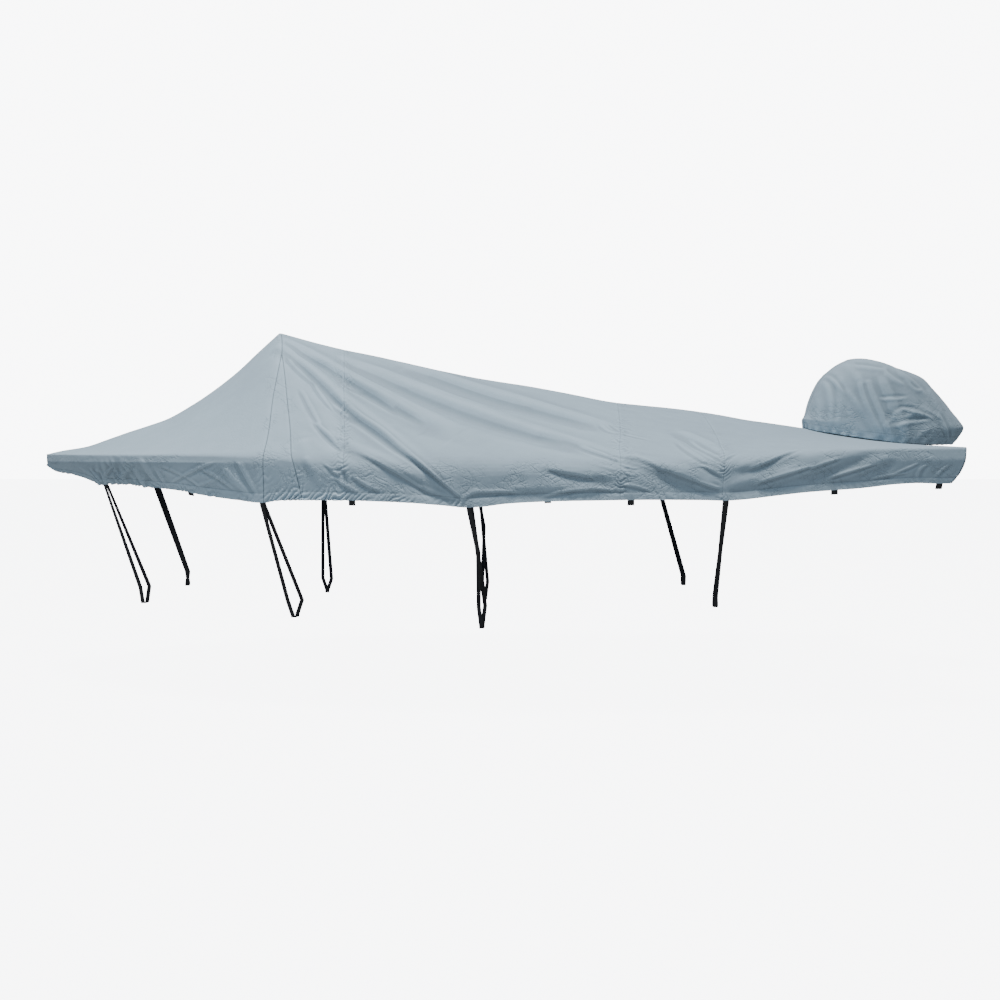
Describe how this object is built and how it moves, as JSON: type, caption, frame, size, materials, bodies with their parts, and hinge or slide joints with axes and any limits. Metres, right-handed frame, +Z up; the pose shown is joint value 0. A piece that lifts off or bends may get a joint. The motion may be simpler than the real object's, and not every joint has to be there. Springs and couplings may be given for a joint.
{
  "type": "boat cover",
  "caption": "Fitted grey cloth cover for an open V-hull boat, peaked over the windshield, with webbing tie-downs and a matching motor hood.",
  "frame": {"origin": "on the centreline at the underside of the cloth where it peaks, the point that the covered boat props up", "axes": "+X towards the stern, +Z up, port side at -Y"},
  "size_m": [5.757, 2.2162, 1.7659],
  "materials": {
    "cloth": "matte woven polyester",
    "webbing": "matte woven webbing"
  },
  "bodies": {
    "root": {"bow_panel": "cloth", "gusset_port": "cloth", "gusset_starboard": "cloth", "fore_panel": "cloth", "mid_panel": "cloth", "aft_panel": "cloth", "stern_panel": "cloth", "transom_panel": "cloth", "motor_hood": "cloth", "loop_1_port": "webbing", "loop_2_port": "webbing", "loop_3_port": "webbing", "loop_4_port": "webbing", "loop_5_port": "webbing", "loop_6_port": "webbing", "loop_1_starboard": "webbing", "loop_2_starboard": "webbing", "loop_3_starboard": "webbing", "loop_4_starboard": "webbing", "loop_5_starboard": "webbing", "loop_6_starboard": "webbing", "tie_1_port": "webbing", "tie_2_port": "webbing", "tie_3_port": "webbing", "tie_4_port": "webbing", "tie_1_starboard": "webbing", "tie_2_starboard": "webbing", "tie_3_starboard": "webbing", "tie_4_starboard": "webbing"}
  },
  "joints": []
}
